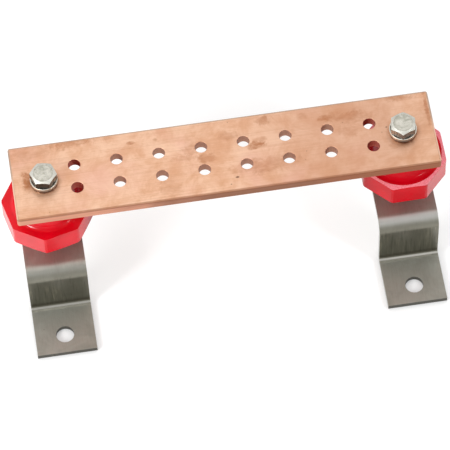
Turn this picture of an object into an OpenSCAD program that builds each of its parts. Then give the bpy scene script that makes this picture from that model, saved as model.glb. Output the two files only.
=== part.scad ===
// Rack grounding busbar: a drilled copper bar on two standoff insulators,
// each bolted to a folded steel Z bracket.
// The mounting surface is the plane z = 0. The origin lies midway between the
// two foot holes, +X runs along the bar and +Y points from the feet to the bar.

/* [Bar] */
// Length of the copper bar
bar_length = 254; // [200:1:400]
// Width of the copper bar
bar_width = 50.8; // [44:0.1:80]
// Thickness of the copper bar
bar_thickness = 6.35; // [4:0.05:12]
// Radius of the bar's corners, seen from above
bar_corner_r = 2; // [0.6:0.1:4]
// Radius of the bar's long and short edges
bar_edge_r = 0.6; // [0.2:0.05:0.6]
// Distance from each bolt to its end of the bar
bolt_end_distance = 19.05; // [14:0.05:30]

/* [Lug holes] */
// Diameter of a lug hole
lug_hole_d = 7.5; // [5:0.1:10]
// Distance between columns of lug holes
lug_pitch = 25.4; // [20:0.1:40]
// Distance between the two rows of lug holes
lug_row_spacing = 15.875; // [12:0.005:20]
// Least distance from a column of lug holes to a bolt
lug_to_bolt = 19.05; // [16:0.05:40]
// Chamfer on the rims of the lug holes
lug_hole_chamfer = 0.15; // [0.1:0.05:0.8]

/* [Bolts and washers] */
// Outside diameter of the bolt thread
bolt_d = 9.525; // [8:0.005:10]
// Distance across the flats of the hex heads
head_flats = 14.29; // [13:0.01:16]
// Height of the hex heads
head_height = 6.1; // [4:0.1:8]
// Height of the round bearing face under each head
head_face_height = 0.4; // [0.2:0.1:1]
// Chamfer angle on top of the heads
head_chamfer_angle = 30; // [20:1:42]
// Turn of the left head about its axis, in degrees
head_angle_left = -10; // [-30:1:30]
// Turn of the right head about its axis, in degrees
head_angle_right = 21; // [-30:1:30]
// Length of thread held by an insert
thread_engagement = 13; // [8:0.5:15]
// Chamfer on the tip of the bolts
bolt_tip_chamfer = 1; // [0.5:0.1:2]
// Outside diameter of the split lock washers
washer_d = 16.6; // [16:0.1:20]
// Thickness of the split lock washers
washer_thickness = 2.4; // [1.5:0.1:3]
// Width of the split in the lock washers
washer_split = 1; // [0.5:0.1:2]
// Slant of the split from upright, in degrees
washer_split_slant = 25; // [0:1:35]
// Place of the split round the left lock washers, in degrees
washer_angle_left = 115; // [0:1:359]
// Place of the split round the right lock washers, in degrees
washer_angle_right = 70; // [0:1:359]
// Rounding on the edges of the lock washers
washer_edge_r = 0.35; // [0.1:0.05:0.6]
// Gap around a bolt in its washer
washer_gap = 0.2; // [0.1:0.05:0.5]
// Gap around a bolt in the bar and in the brackets
bolt_gap = 0.6; // [0.3:0.05:1]

/* [Insulators] */
// Height of an insulator
insulator_height = 50.8; // [40:0.1:76]
// Distance across the flats of the octagonal band
band_flats = 50.8; // [46:0.1:60]
// Height of the octagonal band
band_height = 16; // [10:0.1:25]
// Diameter to which the band's eight corners are rounded off
band_corner_d = 54.4; // [50:0.1:64]
// Turn of the left band about its axis, in degrees
band_angle_left = -9; // [-22.5:0.1:22.5]
// Turn of the right band about its axis, in degrees
band_angle_right = 23; // [-22.5:0.1:45]
// Diameter of the conical necks where they meet the band
neck_base_d = 40; // [34:0.1:42]
// Diameter of the conical necks at the ends of the insulator
neck_end_d = 28.6; // [25:0.1:34]
// Radius of the fillet between a neck and the band
neck_fillet = 3; // [1:0.1:3.4]
// Rounding of the neck's end edge
neck_end_r = 1; // [0.5:0.1:2]
// Diameter of the flat left inside the turned edge of the band
trim_flat_d = 47.8; // [46:0.1:50]
// Slope of the turned edge of the band, in degrees
trim_slope = 17; // [10:1:35]

/* [Threaded inserts] */
// Distance across the flats of an insert
insert_flats = 15.9; // [14:0.1:20]
// Length of an insert
insert_length = 16; // [15.5:0.1:18]
// Depth of the waist that locks an insert in the plastic
insert_waist_depth = 1; // [0.5:0.1:1.5]
// Length of that waist
insert_waist_length = 5; // [3:0.1:8]
// Gap all round an insert
insert_gap = 0.08; // [0.05:0.01:0.3]
// Gap around a bolt in its insert
thread_gap = 0.1; // [0.05:0.01:0.3]

/* [Brackets] */
// Width of the steel strip
bracket_width = 36.5; // [30:0.1:50]
// Thickness of the steel strip
steel_thickness = 3.175; // [2:0.005:4]
// Height from the top of the foot to the top of the raised plate
bracket_rise = 37.7; // [28:0.1:60]
// Inside radius of the bend above the foot
foot_bend_r = 3.2; // [2:0.1:9]
// Inside radius of the bend below the raised plate
plate_bend_r = 5.7; // [2:0.1:9]
// Distance from the bolt to the front of the riser
bolt_to_riser = 31.5; // [30:0.1:50]
// Distance from the bolt to the rear edge of the raised plate
bolt_to_rear = 18.3; // [14:0.1:30]
// Distance from the foot hole to the front edge of the foot
foot_hole_to_front = 12.4; // [10:0.1:20]
// Distance from the foot hole to the front of the riser
foot_hole_to_riser = 21; // [18:0.1:40]
// Diameter of the foot hole
foot_hole_d = 11.1; // [8:0.1:14]

/* [Hidden] */
$fn = 96;
LEFT = -1;
RIGHT = 1;
HEX_SIDES = 6;
BAND_SIDES = 8;
overcut = 1;

// Places along and away from the mounting surface
bolt_spacing = bar_length - 2 * bolt_end_distance;
riser_y = foot_hole_to_riser;
bolt_y = riser_y + bolt_to_riser;
plate_top = steel_thickness + bracket_rise;
plate_bottom = plate_top - steel_thickness;
bar_bottom = plate_top + insulator_height;
bar_top = bar_bottom + bar_thickness;

// As many columns of lug holes as fit between the two bolts
column_slack = 0.001;
lug_room = bolt_spacing - 2 * lug_to_bolt;
lug_columns = floor(lug_room / lug_pitch + column_slack) + 1;

// Bolts, washers and inserts
head_corners = head_flats / cos(180 / HEX_SIDES);
bearing_d = head_flats - 2 * head_face_height;
bolt_hole_d = bolt_d + 2 * bolt_gap;
insert_bore_d = bolt_d + 2 * thread_gap;
bar_shank = washer_thickness + bar_thickness + thread_engagement;
bracket_shank = washer_thickness + steel_thickness + thread_engagement;

// Insulator: the octagon has corners on the X and Y axes, so one points to -Y
band_corners = band_flats / cos(180 / BAND_SIDES);
neck_height = (insulator_height - band_height) / 2;

// Turn of the bar bolt, of the split washers, and of each insulator with its inserts
function head_angle(side) = side == LEFT ? head_angle_left : head_angle_right;
function washer_angle(side) = side == LEFT ? washer_angle_left : washer_angle_right;
function band_angle(side) = side == LEFT ? band_angle_left : band_angle_right;

// Moves a child from the origin to a bolt axis, at a height above the mounting surface
module at_bolt(side, z) {
    translate([side * bolt_spacing / 2, bolt_y, z]) children();
}

// Rectangle with rounded corners, centred, made of exact arcs
module rounded_rectangle(size, r) {
    square([size.x - 2 * r, size.y], center = true);
    square([size.x, size.y - 2 * r], center = true);
    for (x = [-1, 1], y = [-1, 1]) {
        translate([x * (size.x / 2 - r), y * (size.y / 2 - r)]) circle(r);
    }
}

// Slab whose long edges are rounded, running along X
module edge_rounded_slab(length, width, height, r) {
    rotate([90, 0, 90]) {
        linear_extrude(length, center = true) rounded_rectangle([width, height], r);
    }
}

// Drilled hole with a chamfer on both rims, from z = 0 to the given depth
module chamfered_hole(d, depth, chamfer) {
    translate([0, 0, -overcut]) cylinder(d = d, h = depth + 2 * overcut);
    translate([0, 0, -overcut]) {
        cylinder(d1 = d + 2 * (chamfer + overcut), d2 = d, h = chamfer + overcut);
    }
    translate([0, 0, depth - chamfer]) {
        cylinder(d1 = d, d2 = d + 2 * (chamfer + overcut), h = chamfer + overcut);
    }
}

// Copper bar blank: rounded corners from above, rounded edges from both sides
module bar_blank() {
    translate([0, 0, bar_thickness / 2]) {
        intersection() {
            linear_extrude(bar_thickness, center = true) {
                rounded_rectangle([bar_length, bar_width], bar_corner_r);
            }
            edge_rounded_slab(bar_length, bar_width, bar_thickness, bar_edge_r);
            rotate([0, 0, 90]) {
                edge_rounded_slab(bar_width, bar_length, bar_thickness, bar_edge_r);
            }
        }
    }
}

module ground_bar() {
    first_column = -(lug_columns - 1) * lug_pitch / 2;
    color("#e0b492")
    difference() {
        translate([0, bolt_y, bar_bottom]) bar_blank();
        for (column = [0 : lug_columns - 1], row = [-1, 1]) {
            x = first_column + column * lug_pitch;
            y = bolt_y + row * lug_row_spacing / 2;
            translate([x, y, bar_bottom]) {
                chamfered_hole(lug_hole_d, bar_thickness, lug_hole_chamfer);
            }
        }
        for (side = [LEFT, RIGHT]) {
            at_bolt(side, bar_bottom) {
                chamfered_hole(bolt_hole_d, bar_thickness, lug_hole_chamfer);
            }
        }
    }
}

// Hex head standing on z = 0, its top corners turned off by a cone
module hex_head() {
    flat_r = head_flats / 2;
    corner_r = head_corners / 2;
    corner_drop = (corner_r - flat_r) * tan(head_chamfer_angle);
    cylinder(d = bearing_d, h = head_face_height + head_height / 2);
    intersection() {
        translate([0, 0, head_face_height]) {
            cylinder(d = head_corners, h = head_height - head_face_height, $fn = HEX_SIDES);
        }
        rotate_extrude() {
            polygon([
                [0, 0],
                [corner_r, 0],
                [corner_r, head_height - 2 * corner_drop],
                [flat_r - (corner_r - flat_r), head_height],
                [0, head_height]
            ]);
        }
    }
}

// Bolt whose head stands on z = 0 and whose shank hangs below it
module hex_bolt(shank, angle) {
    color("#c9c8b9")
    union() {
        // An angle of 0 puts a flat of the head towards -Y
        rotate([0, 0, angle]) hex_head();
        translate([0, 0, -shank + bolt_tip_chamfer]) {
            cylinder(d = bolt_d, h = shank - bolt_tip_chamfer + head_height / 2);
        }
        translate([0, 0, -shank]) {
            cylinder(d1 = bolt_d - 2 * bolt_tip_chamfer, d2 = bolt_d, h = bolt_tip_chamfer);
        }
    }
}

// Split lock washer lying on z = 0, closed flat under its bolt head
module lock_washer(angle) {
    inner_r = bolt_d / 2 + washer_gap;
    ring_width = washer_d / 2 - inner_r;
    color("#d8d6c8")
    rotate([0, 0, angle])
    difference() {
        rotate_extrude() {
            translate([inner_r + ring_width / 2, washer_thickness / 2]) {
                rounded_rectangle([ring_width, washer_thickness], washer_edge_r);
            }
        }
        translate([washer_d / 2, 0, washer_thickness / 2]) {
            rotate([washer_split_slant, 0, 0]) {
                cube([washer_d, washer_split, washer_d], center = true);
            }
        }
    }
}

module bar_bolt(side) {
    at_bolt(side, bar_top + washer_thickness) hex_bolt(bar_shank, head_angle(side));
}

module bar_lock_washer(side) {
    at_bolt(side, bar_top) lock_washer(washer_angle(side));
}

module bracket_bolt(side) {
    at_bolt(side, plate_bottom - washer_thickness) {
        rotate([180, 0, 0]) hex_bolt(bracket_shank, 0);
    }
}

module bracket_lock_washer(side) {
    at_bolt(side, plate_bottom - washer_thickness) lock_washer(washer_angle(side));
}

// Threaded insert, mouth up at z = 0, grown on every side by a gap
module insert_blank(gap) {
    corners = (insert_flats + 2 * gap) / cos(180 / HEX_SIDES);
    waist_d = insert_flats - 2 * insert_waist_depth + 2 * gap;
    waist_length = insert_waist_length - 2 * gap;
    difference() {
        translate([0, 0, -insert_length - gap]) {
            cylinder(d = corners, h = insert_length + gap, $fn = HEX_SIDES);
        }
        translate([0, 0, -(insert_length + waist_length) / 2]) {
            difference() {
                cylinder(d = corners + overcut, h = waist_length);
                cylinder(d = waist_d, h = waist_length);
            }
        }
    }
}

module threaded_insert() {
    color("#b5975a")
    difference() {
        insert_blank(0);
        translate([0, 0, -insert_length - overcut]) {
            cylinder(d = insert_bore_d, h = insert_length + 2 * overcut);
        }
    }
}

module top_insert(side) {
    at_bolt(side, bar_bottom) rotate([0, 0, band_angle(side)]) threaded_insert();
}

module bottom_insert(side) {
    at_bolt(side, plate_top) {
        rotate([180, 0, band_angle(side)]) threaded_insert();
    }
}

// Half section of a conical neck, filleted into the band and rounded at its end.
// Both arcs are tangent to the cone, so their centres lie one radius away from it.
module neck_section() {
    base_r = neck_base_d / 2;
    slope = (base_r - neck_end_d / 2) / neck_height;
    // Unit normal of the cone: outwards, and up towards the neck's end
    normal = [1, slope] / sqrt(1 + slope * slope);
    fillet_x = base_r - slope * neck_fillet + neck_fillet / normal.x;
    fillet_centre = [fillet_x, neck_fillet];
    fillet_end = fillet_centre - neck_fillet * normal;
    end_z = neck_height - neck_end_r;
    end_centre = [base_r - slope * end_z - neck_end_r / normal.x, end_z];
    end_start = end_centre + neck_end_r * normal;
    difference() {
        polygon([[0, 0], [fillet_x, 0], fillet_centre, fillet_end, [0, fillet_end.y]]);
        translate(fillet_centre) circle(neck_fillet);
    }
    polygon([
        [0, fillet_end.y],
        fillet_end,
        end_start,
        end_centre,
        [end_centre.x, neck_height],
        [0, neck_height]
    ]);
    translate(end_centre) {
        intersection() {
            circle(neck_end_r);
            square(neck_end_r);
        }
    }
}

// Octagonal band standing on z = 0, with the edge of its upper face turned to a slope
module band() {
    rim_r = band_corners / 2 + overcut;
    flat_r = trim_flat_d / 2;
    rim_drop = (rim_r - flat_r) * tan(trim_slope);
    intersection() {
        cylinder(d = band_corners, h = band_height, $fn = BAND_SIDES);
        cylinder(d = band_corner_d, h = band_height);
        rotate_extrude() {
            polygon([
                [0, 0],
                [rim_r, 0],
                [rim_r, band_height - rim_drop],
                [flat_r, band_height],
                [0, band_height]
            ]);
        }
    }
}

// Insulator body centred on the origin, turned band edge uppermost
module insulator_body() {
    difference() {
        union() {
            translate([0, 0, -band_height / 2]) band();
            for (end = [0, 180]) {
                rotate([end, 0, 0]) translate([0, 0, band_height / 2]) {
                    rotate_extrude() neck_section();
                }
            }
        }
        for (end = [0, 180]) {
            rotate([end, 0, 0]) translate([0, 0, insulator_height / 2]) {
                insert_blank(insert_gap);
            }
        }
    }
}

// The left insulator is the same moulding fitted the other way up
module insulator(side) {
    flip = side == LEFT ? 180 : 0;
    color("#c8101c")
    at_bolt(side, plate_top + insulator_height / 2) {
        rotate([0, 0, band_angle(side)]) rotate([flip, 0, 0]) insulator_body();
    }
}

// Quarter ring of strip around a bend, opening towards the given quadrant
module bend_section(inside_r, quadrant) {
    outside_r = inside_r + steel_thickness;
    intersection() {
        difference() {
            circle(outside_r);
            circle(inside_r);
        }
        mirror([quadrant.x < 0 ? 1 : 0, 0]) {
            mirror([0, quadrant.y < 0 ? 1 : 0]) square(2 * outside_r);
        }
    }
}

// Side view of the folded strip: Y runs to the right and Z upwards
module bracket_section() {
    front_y = -foot_hole_to_front;
    rear_y = bolt_y + bolt_to_rear;
    low_bend = [riser_y - foot_bend_r, steel_thickness + foot_bend_r];
    high_bend = [riser_y + steel_thickness + plate_bend_r, plate_bottom - plate_bend_r];
    translate([front_y, 0]) square([low_bend.x - front_y, steel_thickness]);
    translate(low_bend) bend_section(foot_bend_r, [1, -1]);
    translate([riser_y, low_bend.y]) square([steel_thickness, high_bend.y - low_bend.y]);
    translate(high_bend) bend_section(plate_bend_r, [-1, 1]);
    translate([high_bend.x, plate_bottom]) square([rear_y - high_bend.x, steel_thickness]);
}

module bracket(side) {
    color("#9c9a90")
    difference() {
        translate([side * bolt_spacing / 2, 0, 0]) {
            rotate([90, 0, 90]) {
                linear_extrude(bracket_width, center = true) bracket_section();
            }
        }
        translate([side * bolt_spacing / 2, 0, -overcut]) {
            cylinder(d = foot_hole_d, h = steel_thickness + 2 * overcut);
        }
        at_bolt(side, plate_bottom - overcut) {
            cylinder(d = bolt_hole_d, h = steel_thickness + 2 * overcut);
        }
    }
}

ground_bar();
bar_bolt(LEFT);  // bar_bolt_left
bar_bolt(RIGHT);  // bar_bolt_right
bar_lock_washer(LEFT);  // bar_lock_washer_left
bar_lock_washer(RIGHT);  // bar_lock_washer_right
insulator(LEFT);  // insulator_left
insulator(RIGHT);  // insulator_right
top_insert(LEFT);  // top_insert_left
top_insert(RIGHT);  // top_insert_right
bottom_insert(LEFT);  // bottom_insert_left
bottom_insert(RIGHT);  // bottom_insert_right
bracket(LEFT);  // bracket_left
bracket(RIGHT);  // bracket_right
bracket_lock_washer(LEFT);  // bracket_lock_washer_left
bracket_lock_washer(RIGHT);  // bracket_lock_washer_right
bracket_bolt(LEFT);  // bracket_bolt_left
bracket_bolt(RIGHT);  // bracket_bolt_right
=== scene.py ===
import math

import bpy
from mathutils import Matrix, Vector


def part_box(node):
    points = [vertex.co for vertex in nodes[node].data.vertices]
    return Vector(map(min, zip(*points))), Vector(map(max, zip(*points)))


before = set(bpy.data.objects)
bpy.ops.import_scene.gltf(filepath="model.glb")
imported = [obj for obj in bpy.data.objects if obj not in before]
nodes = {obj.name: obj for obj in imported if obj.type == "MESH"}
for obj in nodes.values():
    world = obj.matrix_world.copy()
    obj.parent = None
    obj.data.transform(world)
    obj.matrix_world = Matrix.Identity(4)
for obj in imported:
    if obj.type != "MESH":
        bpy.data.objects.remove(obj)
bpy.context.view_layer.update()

# The part is built whole in CAD. This script only gives it materials, a floor, light and a
# camera. In the part's frame +X runs along the bar, the photographer stands on the -Y side,
# and the foot holes lie where Y is 0. Lengths are in metres where nothing else is said.
SIDES = ("left", "right")


# Places, read from the frame
def centre(node):
    low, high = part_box(node)
    return (low + high) / 2


bar_low, bar_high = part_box("ground_bar")
bar_middle = (bar_low + bar_high) / 2
bar_half = (bar_high - bar_low) / 2
bar_top_centre = Vector(((bar_low.x + bar_high.x) / 2, (bar_low.y + bar_high.y) / 2, bar_high.z))
bolt_axis = {side: centre("insulator_" + side) for side in SIDES}


# ---------------------------------------------------------------- camera

# Fitted to the bar's corners and holes in the photograph. Angles are in degrees, sensor and
# lens in millimetres.
CAMERA_FROM_BAR = Vector((-0.11817, -1.04065, 1.68005))
CAMERA_ANGLES = (30.716, 1.274, -8.556)
CAMERA_SENSOR = 36.0
CAMERA_LENS = 266.28
CAMERA_CLIP = (0.05, 50)


def make_camera():
    data = bpy.data.cameras.new("camera")
    data.sensor_width = CAMERA_SENSOR
    data.lens = CAMERA_LENS
    data.clip_start, data.clip_end = CAMERA_CLIP
    camera = bpy.data.objects.new("camera", data)
    camera.location = bar_top_centre + CAMERA_FROM_BAR
    camera.rotation_euler = [math.radians(angle) for angle in CAMERA_ANGLES]
    bpy.context.scene.collection.objects.link(camera)
    bpy.context.scene.camera = camera


make_camera()


# ---------------------------------------------------------------- node helpers

class Graph:
    """The node tree of a material or world, with a short call for each kind of node."""

    def __init__(self, name, kind="Material"):
        library = bpy.data.worlds if kind == "World" else bpy.data.materials
        self.made = library.new(name)
        self.made.use_nodes = True
        self.tree = self.made.node_tree
        self.tree.nodes.clear()
        self.output = self.tree.nodes.new("ShaderNodeOutput" + kind)

    def put(self, socket, value):
        """Sets a socket to a value, or links it to another node's socket."""
        if isinstance(value, bpy.types.NodeSocket):
            self.tree.links.new(value, socket)
        else:
            socket.default_value = value

    def node(self, kind, inputs=None, **settings):
        made = self.tree.nodes.new("ShaderNode" + kind)
        for name, value in settings.items():
            setattr(made, name, value)
        for name, value in (inputs or {}).items():
            self.put(made.inputs[name], value)
        return made

    # Vectors

    def place(self, offset=(0, 0, 0), turn=(0, 0, 0), scale=(1, 1, 1)):
        """Coordinates in metres, moved, turned and scaled."""
        source = self.node("TexCoord").outputs["Object"]
        moved = self.node("VectorMath", {0: source, 1: offset}, operation="SUBTRACT").outputs[0]
        turned = self.node("Mapping", {"Vector": moved, "Rotation": turn, "Scale": scale})
        return turned.outputs["Vector"]

    def split(self, vector):
        made = self.node("SeparateXYZ", {"Vector": vector})
        return made.outputs["X"], made.outputs["Y"], made.outputs["Z"]

    def length(self, vector):
        return self.node("VectorMath", {0: vector}, operation="LENGTH").outputs["Value"]

    def from_axis(self, point):
        """Distance from an upright axis through a point."""
        return self.length(self.place(offset=(point.x, point.y, 0), scale=(1, 1, 0)))

    # Values

    def math(self, operation, first, second=0.0):
        return self.node("Math", {0: first, 1: second}, operation=operation).outputs[0]

    def times(self, first, *others):
        """The product of all the values."""
        for other in others:
            first = self.math("MULTIPLY", first, other)
        return first

    def plus(self, first, second):
        return self.math("ADD", first, second)

    def less(self, first, second):
        return self.math("SUBTRACT", first, second)

    def fade(self, value, start, end, low=0.0, high=1.0):
        """A smooth change from low to high while value goes from start to end."""
        made = self.node("MapRange", {
            "Value": value, "From Min": start, "From Max": end, "To Min": low, "To Max": high},
            interpolation_type="SMOOTHSTEP")
        return made.outputs["Result"]

    def facing(self):
        """How far the surface faces along each axis of the part, from -1 to 1."""
        return self.split(self.node("TexCoord").outputs["Normal"])

    def level(self):
        """1 on faces that look straight up or down, 0 on upright walls."""
        return self.math("ABSOLUTE", self.facing()[2])

    def upright(self):
        """1 on upright walls, 0 on level faces and slopes."""
        return self.fade(self.level(), 0.5, 0.15)

    # Textures

    def noise(self, vector, scale=1.0, detail=3.0, roughness=0.5, distortion=0.0):
        made = self.node("TexNoise", {
            "Vector": vector, "Scale": scale, "Detail": detail,
            "Roughness": roughness, "Distortion": distortion})
        return made.outputs["Fac"]

    def spots(self, vector, scale):
        """Distance to the nearest of a field of scattered points, in cells."""
        return self.node("TexVoronoi", {"Vector": vector, "Scale": scale}).outputs["Distance"]

    # Colours and surfaces

    def mix(self, factor, first, second):
        made = self.node("Mix", {"Factor": factor, 6: first, 7: second}, data_type="RGBA")
        return made.outputs[2]

    def bump(self, height, strength, distance):
        made = self.node("Bump", {"Height": height, "Strength": strength, "Distance": distance})
        return made.outputs["Normal"]

    def surface(self, **inputs):
        """Principled shader on the output. Names use _ for the spaces in the socket names."""
        shader = self.node("BsdfPrincipled")
        for name, value in inputs.items():
            self.put(shader.inputs[name.replace("_", " ")], value)
        self.tree.links.new(shader.outputs["BSDF"], self.output.inputs["Surface"])
        return self.made


def colour(red, green, blue):
    """Linear colour from the 0 to 255 values of a display."""
    def linear(value):
        share = value / 255
        return share / 12.92 if share <= 0.04045 else ((share + 0.055) / 1.055) ** 2.4
    return (linear(red), linear(green), linear(blue), 1.0)


# ---------------------------------------------------------------- copper

COPPER = {
    "pale": colour(248, 205, 175),
    "warm": colour(223, 170, 135),
    "blush": colour(240, 188, 168),
    "tarnish": colour(212, 150, 106),
    "line": colour(196, 140, 106),
    "right_shade": colour(204, 152, 126),
    "speck": colour(128, 78, 54),
    "stain": colour(168, 96, 44),
    "pit": colour(104, 66, 46),
    "halo_and_shadow": colour(140, 82, 50),
    "contact_shadow": colour(84, 48, 34),
    "rear_burr": colour(176, 158, 142),
    "front_burr": colour(150, 96, 66),
    "lit_burr": colour(244, 206, 182),
    "side_lit": colour(218, 160, 134),
    "side_middle": colour(152, 106, 82),
    "side_right": colour(160, 104, 76),
    "side_line": colour(136, 90, 66),
    "side_rim": colour(136, 84, 56),
    "hole": colour(172, 128, 108),
    "hole_red_reflection": colour(164, 64, 52),
}
# Brown stains on the bar's face: place from the middle of the bar along X and Y, length and
# width (all in mm), turn in degrees, and strength
STAINS = (
    (18.5, 4, 13, 4.5, 32, 0.75),
    (23, 7.5, 7, 3, 10, 0.4),
    (26.5, 20.5, 9, 6, 0, 0.55),
    (4.5, 13, 14, 6, 115, 0.4),
    (25, -11, 34, 10, 92, 0.4),
    (-18.5, 8, 11, 10, 0, 0.35),
    (-10, -0.5, 10, 7, -20, 0.5),
    (-22, 2, 16, 4, 0, 0.28),
    (-35, -16, 13, 12, 0, 0.25),
    (-53.5, 17.5, 4, 2.2, 0, 0.6),
    (-39, 17.5, 2.5, 1.8, 0, 0.4),
    (-87, 23.5, 28, 6, 0, 0.5),
    (-118, 1, 6, 13, 10, 0.75),
    (50, 19.5, 8, 4, 0, 0.3),
    (63, 16, 9, 3.5, 0, 0.4),
    (78, 14.5, 26, 8, 0, 0.4),
    (75, 4, 12, 7, 20, 0.25),
    (110, 23, 14, 4, 0, 0.6),
    (124.6, 12, 2.6, 24, 4, 0.6),
    (104, -9, 14, 6, 0, 0.35),
    (-114, 21, 30, 12, -10, 0.25),
)
# Dark pits: place along X and Y, and length (mm), and how many times longer than wide
PITS = ((98.6, 3.9, 1.8), (5.7, -16.3, 2.8), (1.4, -20.6, 1.3), (49, -5, 0.9))
PIT_STRETCH = 1.7
# Brown ring round each bolt, part stain and part painted contact shadow: how far its middle lies
# towards the feet, how far its rim frays, and for each colour the distance where it starts and
# where it is full, and its strength
HALO_SHIFT = Vector((0, 0.0012, 0))
HALO_FRAY = 0.004
HALOS = (("halo_and_shadow", 0.0095, 0.0055, 0.5), ("contact_shadow", 0.0068, 0.0052, 0.8))
# Distance from the bar's outline where the burr starts and where it is full
BURR = (0.0013, 0.0006)
# An upright wall this near the outline is the bar's side, and one this far in is a hole's
SIDE_WALL, HOLE_WALL = 0.001, 0.003
# Distance from the bar's middle where the holes over the red insulators start, whose walls carry
# a painted red reflection
OVER_RED = (0.075, 0.085)


def copper_faces(g, cloud, lines):
    """Rolling lines along the bar and mottled tarnish, with painted shade right of the middle.
    """
    across, _, _ = g.split(g.place(offset=bar_middle))
    blush = g.noise(g.place(offset=(0.9, 0.5, 0)), scale=24, detail=3)
    blotch_place = g.place(offset=(0.4, 0.1, 0), scale=(0.7, 1, 1))
    blotch = g.noise(blotch_place, scale=26, detail=6, roughness=0.6)
    speck = g.spots(g.place(offset=(0.013, 0.007, 0)), scale=95)
    # Painted shade right of the middle, where less light falls
    deeper = g.times(g.fade(across, -0.01, 0.07, 0, 0.4), g.fade(across, 0.095, 0.12, 1, 0.4))
    tone = g.mix(g.fade(cloud, 0.31, 0.69), COPPER["pale"], COPPER["warm"])
    tone = g.mix(g.fade(blush, 0.48, 0.7, 0, 0.55), tone, COPPER["blush"])
    tone = g.mix(g.fade(blotch, 0.48, 0.68, 0, 0.7), tone, COPPER["tarnish"])
    tone = g.mix(g.fade(lines, 0.45, 0.75, 0, 0.34), tone, COPPER["line"])
    tone = g.mix(deeper, tone, COPPER["right_shade"])
    return g.mix(g.fade(speck, 0.06, 0.02, 0, 0.4), tone, COPPER["speck"])


def oval_reach(g, x, y, length, width, turn=0):
    """Distance from a point of the bar's face, 1 on the rim of an oval round it. Sizes in mm."""
    point = Vector((bar_middle.x + x / 1000, bar_middle.y + y / 1000, 0))
    scale = (2000 / length, 2000 / width, 0)
    return g.length(g.place(offset=point, turn=(0, 0, -math.radians(turn)), scale=scale))


def add_stains(g, tone):
    """Frayed stains with a ragged inside, frayed pits, and a brown ring of stain and painted
    contact shadow round each bolt.
    """
    fray = g.noise(g.place(), scale=150, detail=6, roughness=0.75, distortion=0.6)
    frayed = g.times(g.less(fray, 0.5), 3.4)
    ragged = g.noise(g.place(scale=(0.6, 1, 1)), scale=300, detail=5, roughness=0.7)
    ragged = g.fade(ragged, 0.35, 0.62, 0.5, 1)
    for x, y, length, width, turn, strength in STAINS:
        reach = g.plus(oval_reach(g, x, y, length, width, turn), frayed)
        brown = g.fade(reach, 1.4, 0.5, 0, strength)
        tone = g.mix(g.times(brown, ragged), tone, COPPER["stain"])
    for x, y, length in PITS:
        reach = g.plus(oval_reach(g, x, y, length, length / PIT_STRETCH), g.times(frayed, 0.3))
        tone = g.mix(g.fade(reach, 1, 0.4, 0, 0.8), tone, COPPER["pit"])
    for side in SIDES:
        reach = g.less(g.from_axis(bolt_axis[side] - HALO_SHIFT), g.times(fray, HALO_FRAY))
        for name, start, full, strength in HALOS:
            tone = g.mix(g.fade(reach, start, full, 0, strength), tone, COPPER[name])
    return tone


def add_edges(g, tone, lines):
    """Burr along the edges with a painted highlight on the ends, uneven sheared sides with
    painted light at the left, and brown walls in the holes, with a painted red reflection over
    the insulators.
    """
    across, along, up = g.split(g.place(offset=bar_middle))
    to_side = g.less(bar_half.y, g.math("ABSOLUTE", along))
    to_end = g.less(bar_half.x, g.math("ABSOLUTE", across))
    to_edge = g.math("MINIMUM", to_side, to_end)
    # The burr is brown in front and greyer behind, and pale on the front half of both ends with
    # a painted highlight
    burr = g.mix(g.fade(along, 0, -0.01), COPPER["rear_burr"], COPPER["front_burr"])
    lit_end = g.times(g.fade(to_end, 0.001, 0.0005), g.fade(along, 0.008, 0))
    burr = g.mix(lit_end, burr, COPPER["lit_burr"])
    tone = g.mix(g.fade(to_edge, *BURR, 0, 0.7), tone, burr)
    # The sides carry painted light, paler at the left, with a wavering border
    patchy = g.noise(g.place(scale=(1, 0.2, 1)), scale=40, detail=4)
    wavering = g.plus(across, g.fade(patchy, 0.3, 0.7, -0.012, 0.012))
    leftmost = g.fade(wavering, -0.075, -0.015)
    side = g.mix(leftmost, COPPER["side_lit"], COPPER["side_middle"])
    side = g.mix(g.fade(wavering, 0.03, 0.08), side, COPPER["side_right"])
    side = g.mix(g.fade(lines, 0.45, 0.7, 0, 0.3), side, COPPER["side_line"])
    rim = g.fade(up, bar_half.z - 0.0018, bar_half.z - 0.0008, 0, 0.6)
    side = g.mix(rim, side, COPPER["side_rim"])
    upright = g.upright()
    on_side = g.times(upright, g.fade(to_edge, HOLE_WALL, SIDE_WALL))
    tone = g.mix(on_side, tone, side)
    in_hole = g.times(upright, g.fade(to_edge, SIDE_WALL, HOLE_WALL), 0.9)
    over_red = g.fade(g.math("ABSOLUTE", across), *OVER_RED)
    return g.mix(in_hole, tone, g.mix(over_red, COPPER["hole"], COPPER["hole_red_reflection"]))


def copper_material():
    g = Graph("copper")
    cloud = g.noise(g.place(), scale=60, detail=7, roughness=0.68, distortion=0.4)
    lines = g.noise(g.place(scale=(14, 1500, 1500)), detail=4, roughness=0.6)
    fine_lines = g.noise(g.place(scale=(40, 5200, 5200)), detail=2)
    tone = copper_faces(g, cloud, lines)
    tone = add_stains(g, tone)
    tone = add_edges(g, tone, lines)
    normal = g.bump(g.plus(g.times(lines, 0.6), g.times(fine_lines, 0.4)), 0.22, 0.00006)
    # The faces are cloudy, and the sides rougher
    face_rough = g.fade(cloud, 0.3, 0.75, 0.36, 0.48)
    rough = g.math("MAXIMUM", face_rough, g.fade(g.level(), 0.97, 0.9, 0, 0.6))
    return g.surface(Base_Color=tone, Metallic=0.85, Roughness=rough, Normal=normal)


# ---------------------------------------------------------------- stainless steel

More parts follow.
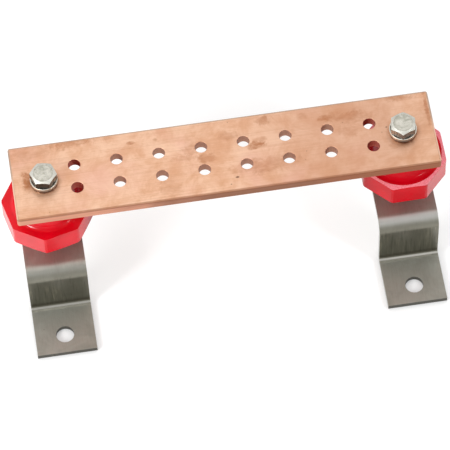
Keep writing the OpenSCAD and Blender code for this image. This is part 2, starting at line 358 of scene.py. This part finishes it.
STEEL = {
    "pale": colour(162, 162, 152),
    "grey": colour(146, 145, 135),
    "grain": colour(112, 109, 100),
    "shade": colour(106, 102, 87),
    "pale_mark": colour(196, 188, 164),
    "dark_mark": colour(66, 62, 52),
    "speck": colour(70, 66, 58),
    "side": colour(196, 198, 194),
    "cut_and_shade": colour(74, 72, 66),
    "highlight_line": colour(232, 230, 222),
    "crown": colour(206, 207, 205),
}
# Painted highlights and wear of each bracket: how bright the painted highlight on the crown of
# the upper bend, the painted highlight line in the lower bend and the riser's scratches are
SHINE_AND_WEAR = {"left": (0.1, 0.55, 0.75), "right": (0.55, 0.75, 0.4)}
# Where each detail starts and where it is full: the distance from the foot hole's axis, two
# places along Y, and two heights above the floor
FOOT_HOLE_WALL = (0.0062, 0.0058)
FOOT_END = (-0.0118, -0.0122)
BEHIND_FOOT = (0.010, 0.014)
LOWER_BEND = (0.0085, 0.0075)
UPPER_BEND = (0.012, 0.02)


def steel_material(side):
    """Mill-finish strip with painted shade and scratches on the riser, pale sides with a painted
    highlight, painted shade in the foot's hole, and painted shade and highlights on the bends.
    """
    g = Graph("stainless_" + side)
    place = g.place()
    crown_shine, line_shine, scratch_wear = SHINE_AND_WEAR[side]
    sideways, forward, _ = g.facing()
    _, from_holes, above_floor = g.split(place)
    # The riser faces -Y, so forward is -1 on it
    riser = g.fade(forward, -0.9, -0.995)
    cloud = g.noise(place, scale=48, detail=5, roughness=0.6, distortion=0.5)
    grain = g.noise(g.place(scale=(1900, 160, 160)), detail=3, roughness=0.55)
    patches = g.fade(g.noise(g.place(scale=(1.6, 1, 0.5)), scale=60, detail=2), 0.4, 0.62)
    scratch_place = g.place(offset=(0.3, 0, 0), scale=(900, 14, 60))
    scratches = g.noise(scratch_place, detail=3, roughness=0.5)
    pale_marks = g.times(g.fade(scratches, 0.5, 0.76), g.fade(forward, -0.99, -0.999))
    dark_marks = g.times(g.fade(scratches, 0.46, 0.3), riser)
    speck = g.spots(place, scale=110)
    tone = g.mix(g.fade(cloud, 0.3, 0.7), STEEL["pale"], STEEL["grey"])
    tone = g.mix(g.fade(grain, 0.4, 0.75, 0, 0.15), tone, STEEL["grain"])
    # Painted shade on faces that turn towards -Y, the riser most
    tone = g.mix(g.times(g.fade(forward, -0.6, -0.93), 0.55), tone, STEEL["shade"])
    tone = g.mix(g.times(pale_marks, patches, scratch_wear), tone, STEEL["pale_mark"])
    tone = g.mix(g.times(dark_marks, 0.3), tone, STEEL["dark_mark"])
    tone = g.mix(g.fade(speck, 0.045, 0.015, 0, 0.6), tone, STEEL["speck"])
    # Pale sheared sides with a painted highlight, and painted shade on the dark cut wall of the
    # foot's hole and end of the foot
    tone = g.mix(g.fade(g.math("ABSOLUTE", sideways), 0.85, 0.95), tone, STEEL["side"])
    hole = g.fade(g.from_axis(Vector((bolt_axis[side].x, 0, 0))), *FOOT_HOLE_WALL)
    foot_end = g.fade(from_holes, *FOOT_END)
    cut_and_shade = g.times(g.math("MAXIMUM", hole, foot_end), g.upright())
    tone = g.mix(g.times(cut_and_shade, 0.85), tone, STEEL["cut_and_shade"])
    # The lower bend has painted shade inside, and a painted highlight line
    low = g.times(g.fade(above_floor, *LOWER_BEND), g.fade(from_holes, *BEHIND_FOOT))
    hollow = g.times(g.fade(forward, -0.02, -0.25), low)
    leaning = g.times(g.fade(forward, -0.48, -0.62), g.fade(forward, -0.88, -0.76))
    highlight_line = g.times(leaning, low)
    tone = g.mix(g.times(hollow, 0.5), tone, STEEL["shade"])
    tone = g.mix(g.times(highlight_line, line_shine), tone, STEEL["highlight_line"])
    # The crown of the upper bend carries a painted highlight
    crown = g.times(g.fade(forward, -0.05, -0.3), g.fade(forward, -0.85, -0.5))
    lit_crown = g.times(crown, g.fade(above_floor, *UPPER_BEND))
    tone = g.mix(g.times(lit_crown, crown_shine), tone, STEEL["crown"])
    normal = g.bump(g.plus(g.times(grain, 0.5), g.times(pale_marks, 0.5)), 0.08, 0.00005)
    smooth = g.math("MAXIMUM", riser, g.times(highlight_line, 0.6))
    rough = g.less(g.fade(cloud, 0.3, 0.7, 0.46, 0.54), g.times(smooth, 0.18))
    metal = g.plus(g.times(riser, 0.2), 0.76)
    return g.surface(Base_Color=tone, Metallic=metal, Roughness=rough, Normal=normal)


# ---------------------------------------------------------------- zinc and brass

ZINC = {
    "smear": colour(150, 148, 134),
    "chamfer": colour(232, 232, 226),
    "ring": colour(120, 117, 106),
    "head_shadow": colour(58, 52, 46),
}
# Plating of the bolts and washers: light and dark cloud, upright walls of each side, and share
# of metal. The bolts' walls are painted shade, the left bolt's darkest.
PLATING = {
    "bolt_steel": (
        colour(224, 220, 208), colour(184, 182, 168),
        {"left": colour(44, 43, 42), "right": colour(108, 110, 112)}, 0.95),
    "washer_steel": (
        colour(232, 226, 214), colour(206, 198, 182),
        dict.fromkeys(SIDES, colour(212, 202, 186)), 0.8),
}
# Distance from the bolt's axis where each starts and where it is full: the inside and the
# outside of a dull ring on the head, and the painted shadow of the head on the washer just
# outside it
RING_INSIDE = (0.0047, 0.0053)
RING_OUTSIDE = (0.0062, 0.0057)
WASHER_HEAD_SHADOW = (0.0078, 0.0075)


def zinc_material(name, side):
    """Zinc plating: cloudy on level faces, with painted shade on the bolts' upright walls and a
    painted highlight on the chamfer.
    """
    g = Graph(name + "_" + side)
    light, dark, walls, metal = PLATING[name]
    level = g.level()
    upright = g.upright()
    out = g.from_axis(bolt_axis[side])
    cloud = g.noise(g.place(), scale=260, detail=5, roughness=0.65, distortion=0.8)
    smear = g.noise(g.place(turn=(0, 0, 0.7), scale=(120, 700, 300)), detail=3)
    tone = g.mix(g.fade(cloud, 0.35, 0.7), light, dark)
    tone = g.mix(g.fade(smear, 0.55, 0.75, 0, 0.45), tone, ZINC["smear"])
    # Painted highlight on the chamfer
    chamfer = g.times(g.fade(level, 0.4, 0.6), g.fade(level, 0.97, 0.9))
    tone = g.mix(g.times(chamfer, 0.5), tone, ZINC["chamfer"])
    ring = g.times(g.fade(out, *RING_INSIDE), g.fade(out, *RING_OUTSIDE))
    tone = g.mix(g.times(ring, 0.2), tone, ZINC["ring"])
    # Upright walls are streaked, and take their own wall colour all over where they face the
    # photographer; on the bolts that colour is painted shade
    streaks = g.noise(g.place(scale=(1, 1, 0.4)), scale=520, detail=3, roughness=0.6)
    front = g.fade(g.facing()[1], -0.75, -0.95)
    full_wall = g.math("MAXIMUM", g.fade(streaks, 0.62, 0.45), front)
    wall = g.mix(full_wall, g.mix(0.45, walls[side], light), walls[side])
    tone = g.mix(g.times(upright, 0.9), tone, wall)
    # Painted shadow of the head on the washer just outside it
    if name == "washer_steel":
        tone = g.mix(g.fade(out, *WASHER_HEAD_SHADOW, 0, 0.85), tone, ZINC["head_shadow"])
    normal = g.bump(g.plus(cloud, smear), 0.2, 0.00008)
    dulled = g.plus(g.times(upright, 0.12), g.times(chamfer, 0.24))
    rough = g.plus(g.fade(smear, 0.3, 0.7, 0.22, 0.34), dulled)
    return g.surface(Base_Color=tone, Metallic=metal, Roughness=rough, Normal=normal)


def brass_material():
    """Turned brass, with fine rings round the axis."""
    g = Graph("brass")
    rings = g.noise(g.place(scale=(300, 300, 9000)), detail=2)
    cloud = g.noise(g.place(), scale=200, detail=3)
    tone = g.mix(g.fade(cloud, 0.3, 0.7), colour(196, 168, 104), colour(176, 144, 84))
    normal = g.bump(rings, 0.3, 0.00006)
    rough = g.fade(rings, 0.3, 0.7, 0.24, 0.36)
    return g.surface(Base_Color=tone, Metallic=1.0, Roughness=rough, Normal=normal)


# ---------------------------------------------------------------- red mouldings

# Lighter and deeper red of each insulator, the right one deeper as painted shade, and the paler
# colour of its turned edge, which carries a painted highlight
RED = {
    "left": (colour(220, 2, 28), colour(205, 1, 22), colour(255, 150, 164)),
    "right": (colour(202, 2, 24), colour(188, 1, 19), colour(255, 158, 170)),
}
COVERED_RED = colour(128, 1, 10)
# Gloss of each insulator: how far a face turns towards +X where the gloss starts and stops to
# change, and the gloss there
GLOSS = {"left": (0.5, -0.8, 0.2, 0.6), "right": (0.4, 0.75, 0.12, 0.6)}
# Where the cover of the bar starts and where it is full, from the insulator's axis: backwards,
# and outwards along the bar
COVERED_BACKWARDS = (-0.020, -0.006)
COVERED_OUTWARDS = (0.015, 0.005)
# Distance from the axis where the turned slope of the band starts and where it is full, and
# how far its nicks bring that in
BAND_RIM = (0.0243, 0.0247)
BAND_NICKS = 0.0016


def red_material(side):
    """Glossy red moulding, rougher and paler where the edge of the band was turned, with a
    painted highlight there.
    """
    g = Graph("red_plastic_" + side)
    place = g.place()
    lighter, deeper, turned_edge_and_highlight = RED[side]
    skin = g.noise(place, scale=420, detail=3)
    cloud = g.noise(place, scale=70, detail=3)
    scuffs = g.noise(place, scale=1500, detail=3)
    tone = g.mix(g.fade(cloud, 0.3, 0.7), lighter, deeper)
    # Deeper where the bar above keeps the light off
    rightwards, backwards, _ = g.split(g.place(offset=bolt_axis[side]))
    outwards = g.times(rightwards, 1 if side == "right" else -1)
    under_bar = g.fade(backwards, *COVERED_BACKWARDS)
    covered = g.times(under_bar, g.fade(outwards, *COVERED_OUTWARDS))
    tone = g.mix(g.times(covered, 0.8), tone, COVERED_RED)
    # Out at the rim of the band only the turned slope leans between these limits
    level = g.level()
    leaning = g.times(g.fade(level, 0.6, 0.9), g.fade(level, 0.985, 0.965))
    nicks = g.times(g.noise(place, scale=900, detail=3), BAND_NICKS)
    out = g.plus(g.from_axis(bolt_axis[side]), nicks)
    turned = g.times(leaning, g.fade(out, *BAND_RIM))
    # The turned edge's paler colour is partly a painted highlight
    tone = g.mix(g.times(turned, g.fade(scuffs, 0.3, 0.7, 0.5, 0.85)), tone, turned_edge_and_highlight)
    normal = g.bump(g.plus(skin, g.times(scuffs, turned)), 0.12, 0.0001)
    rough = g.plus(g.fade(cloud, 0.3, 0.7, 0.18, 0.25), g.times(turned, 0.35))
    gloss = g.fade(g.facing()[0], *GLOSS[side])
    return g.surface(Base_Color=tone, Roughness=rough, Specular_IOR_Level=gloss, Normal=normal)


# ---------------------------------------------------------------- materials onto the nodes

def dress(node, material):
    slots = nodes[node].data.materials
    slots.clear()
    slots.append(material)


def dress_all():
    brass = brass_material()
    dress("ground_bar", copper_material())
    for side in SIDES:
        bolt = zinc_material("bolt_steel", side)
        washer = zinc_material("washer_steel", side)
        dress("bracket_" + side, steel_material(side))
        dress("insulator_" + side, red_material(side))
        for end in ("bar", "bracket"):
            dress(end + "_bolt_" + side, bolt)
            dress(end + "_lock_washer_" + side, washer)
        for end in ("top", "bottom"):
            dress(end + "_insert_" + side, brass)


dress_all()


# ---------------------------------------------------------------- floor and light

WHITE = (1, 1, 1, 1)
FLOOR_Z = -0.0002
FLOOR_SIZE = 6.0
FLOOR_GLOW = 0.5
FLOOR_GREY = 0.57
FLOOR_MOTTLE = 0.97
FLOOR_SHADE_REACH = 0.008
SKY_FRONT = 0.5
SKY_BACK = 0.95
SKY_HORIZON = 0.25
# A dark patch of the studio, round the photographer
DARK_DIRECTION = Vector((-0.06, -0.5, 0.86))
DARK_SHARE = 0.3
DARK_INNER = math.cos(math.radians(12))
DARK_OUTER = math.cos(math.radians(38))


def make_floor():
    """White paper that glows a little, with painted shade where something stands close to it."""
    bpy.ops.mesh.primitive_plane_add(size=FLOOR_SIZE, location=(0, 0, FLOOR_Z))
    floor = bpy.context.object
    floor.name = "floor"
    g = Graph("floor_white")
    paper = g.noise(g.place(), scale=6, detail=2)
    greys = [(share, share, share, 1) for share in (FLOOR_GREY, FLOOR_GREY * FLOOR_MOTTLE)]
    matte = g.node("BsdfDiffuse", {"Color": g.mix(g.fade(paper, 0.3, 0.7), *greys)})
    # Painted shade: the glow falls off near the part
    shade_near = g.node("AmbientOcclusion", {"Distance": FLOOR_SHADE_REACH}, samples=8)
    strength = g.times(shade_near.outputs["AO"], FLOOR_GLOW)
    glow = g.node("Emission", {"Color": WHITE, "Strength": strength})
    both = g.node("AddShader", {0: matte.outputs[0], 1: glow.outputs[0]})
    g.put(g.output.inputs["Surface"], both.outputs[0])
    floor.data.materials.append(g.made)


def make_world():
    """Pale sky, brighter behind the bar but dark low down there, and dark round the camera."""
    g = Graph("studio", "World")
    direction = g.node("TexCoord").outputs["Generated"]
    _, away, upwards = g.split(direction)
    level = g.fade(away, -0.8, 0.6, SKY_FRONT, SKY_BACK)
    high = g.fade(upwards, 0.05, 0.3, SKY_HORIZON, 1)
    level = g.times(level, g.math("MAXIMUM", high, g.fade(away, 0.6, 0.1)))
    towards = g.node(
        "VectorMath", {0: direction, 1: DARK_DIRECTION.normalized()}, operation="DOT_PRODUCT")
    patch = g.fade(towards.outputs["Value"], DARK_OUTER, DARK_INNER, 1, DARK_SHARE)
    sky = g.node("Background", {"Color": WHITE, "Strength": g.times(level, patch)})
    g.put(g.output.inputs["Surface"], sky.outputs[0])
    bpy.context.scene.world = g.made


def softbox(name, turn, lift, distance, size, power):
    """Area lamp aimed at the bar. A turn of 0 is on the -Y side, and it grows towards +X."""
    turn, lift = math.radians(turn), math.radians(lift)
    out = math.cos(lift)
    away = Vector((math.sin(turn) * out, -math.cos(turn) * out, math.sin(lift)))
    data = bpy.data.lights.new(name, "AREA")
    data.shape = "RECTANGLE"
    data.size, data.size_y = size
    data.energy = power
    lamp = bpy.data.objects.new(name, data)
    lamp.location = bar_top_centre + away * distance
    lamp.rotation_euler = away.to_track_quat("Z", "Y").to_euler()
    bpy.context.scene.collection.objects.link(lamp)


make_floor()
make_world()
softbox("left_box", turn=-60, lift=30, distance=1.2, size=(0.25, 0.4), power=8)
softbox("right_box", turn=50, lift=30, distance=1.2, size=(0.14, 0.3), power=3.5)
softbox("top_box", turn=-60, lift=80, distance=1.4, size=(0.7, 0.7), power=4)


# ---------------------------------------------------------------- finish

bpy.context.scene.view_settings.view_transform = "Standard"
